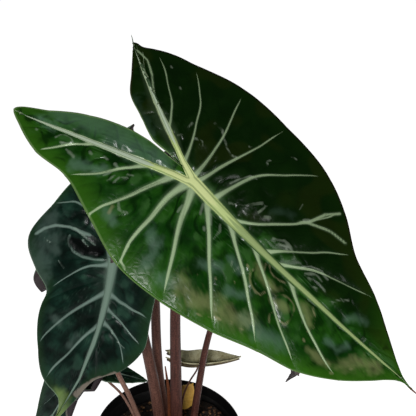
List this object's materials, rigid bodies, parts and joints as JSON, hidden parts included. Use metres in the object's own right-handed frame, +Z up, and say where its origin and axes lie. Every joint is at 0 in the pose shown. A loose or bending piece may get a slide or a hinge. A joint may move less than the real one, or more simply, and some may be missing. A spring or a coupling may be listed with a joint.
{
  "type": "potted alocasia house plant",
  "caption": "Arrow-leaved aroid house plant with a large glossy pale-ribbed leaf, darker leaves on mauve stalks, in a round black nursery pot.",
  "frame": {"origin": "centre of the pot's flat underside", "axes": "+Z up along the pot's axis; -Y towards the side the big leaf faces, the viewer's side in the picture; +X to the viewer's right"},
  "size_m": [0.2723, 0.1503, 0.401],
  "materials": {
    "glossy_leaf": "glossy waxy leaf with pale yellow-green ribs",
    "dark_leaf": "dark blue-green leaf with grey-green ribs",
    "stalk": "mauve-brown leaf stalk, faintly streaked",
    "dry_leaf": "dry curled leaf, olive-beige",
    "dry_stalk": "shrivelled dark stalk",
    "yellow_leaf": "old yellowed leaf",
    "dry_sheath": "papery red-brown sheath",
    "pot": "black moulded plastic with a slight sheen",
    "soil": "moist potting mix with bark chips"
  },
  "bodies": {
    "root": {"front_leaf": "glossy_leaf", "second_leaf": "dark_leaf", "low_leaf": "dark_leaf", "small_leaf": "dark_leaf", "back_leaf": "dark_leaf", "right_leaf": "dark_leaf", "front_stalk": "stalk", "second_stalk": "stalk", "low_stalk": "stalk", "small_stalk": "stalk", "back_stalk": "stalk", "right_stalk": "stalk", "dry_leaf": "dry_leaf", "dry_stalk": "dry_stalk", "yellow_leaf": "yellow_leaf", "dry_sheath": "dry_sheath", "pot": "pot", "soil": "soil"}
  },
  "joints": []
}
